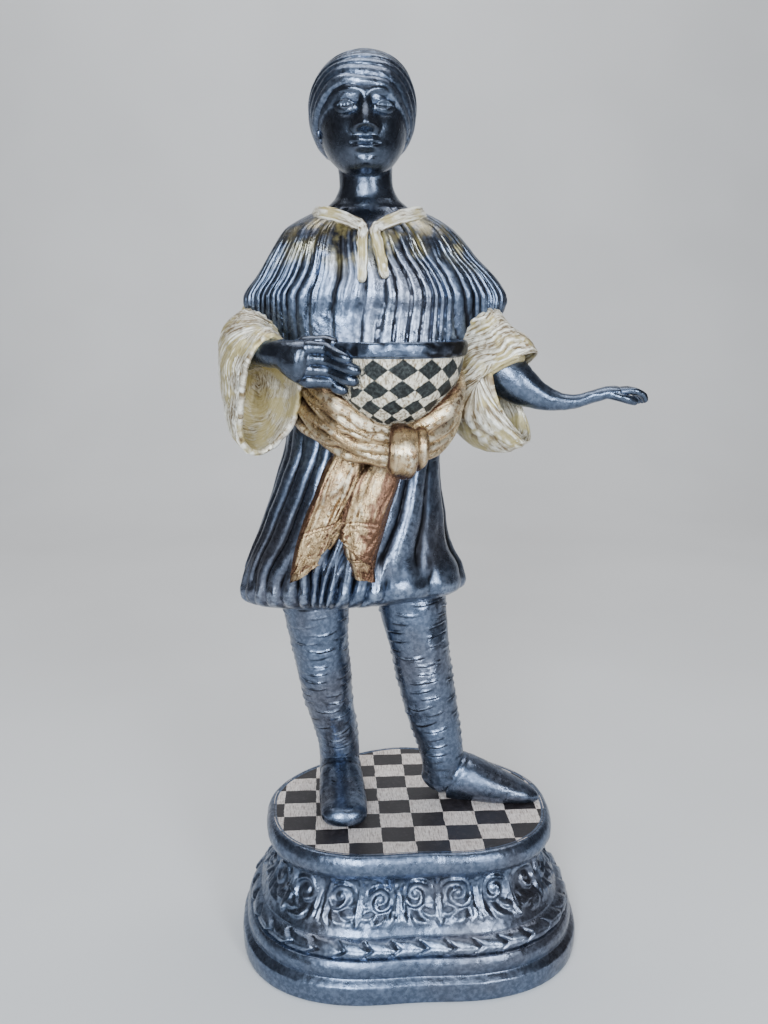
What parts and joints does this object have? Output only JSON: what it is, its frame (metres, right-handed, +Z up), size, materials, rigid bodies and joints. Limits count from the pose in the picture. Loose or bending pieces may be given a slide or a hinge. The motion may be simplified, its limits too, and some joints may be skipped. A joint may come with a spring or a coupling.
{
  "type": "servant statue",
  "caption": "Standing cast bronze servant in pleated tunic with bell sleeves, holding a harlequin bowl on one arm and reaching out the other, on a lobed plinth with a chequered top",
  "frame": {"origin": "middle of the plinth's underside", "axes": "+Z up, the figure faces -Y, +X is the side of the arm held out"},
  "size_m": [0.2268, 0.1675, 0.5038],
  "materials": {
    "figure": "dark gunmetal bronze patina, polished on the high places, with worn gold paint on the sash and collar, cream paint on the cuffs and cream and black diamonds on the bowl",
    "plinth": "dark gunmetal bronze patina with a hand painted cream and black chequered top"
  },
  "bodies": {
    "root": {"figure": "figure", "plinth": "plinth"}
  },
  "joints": []
}
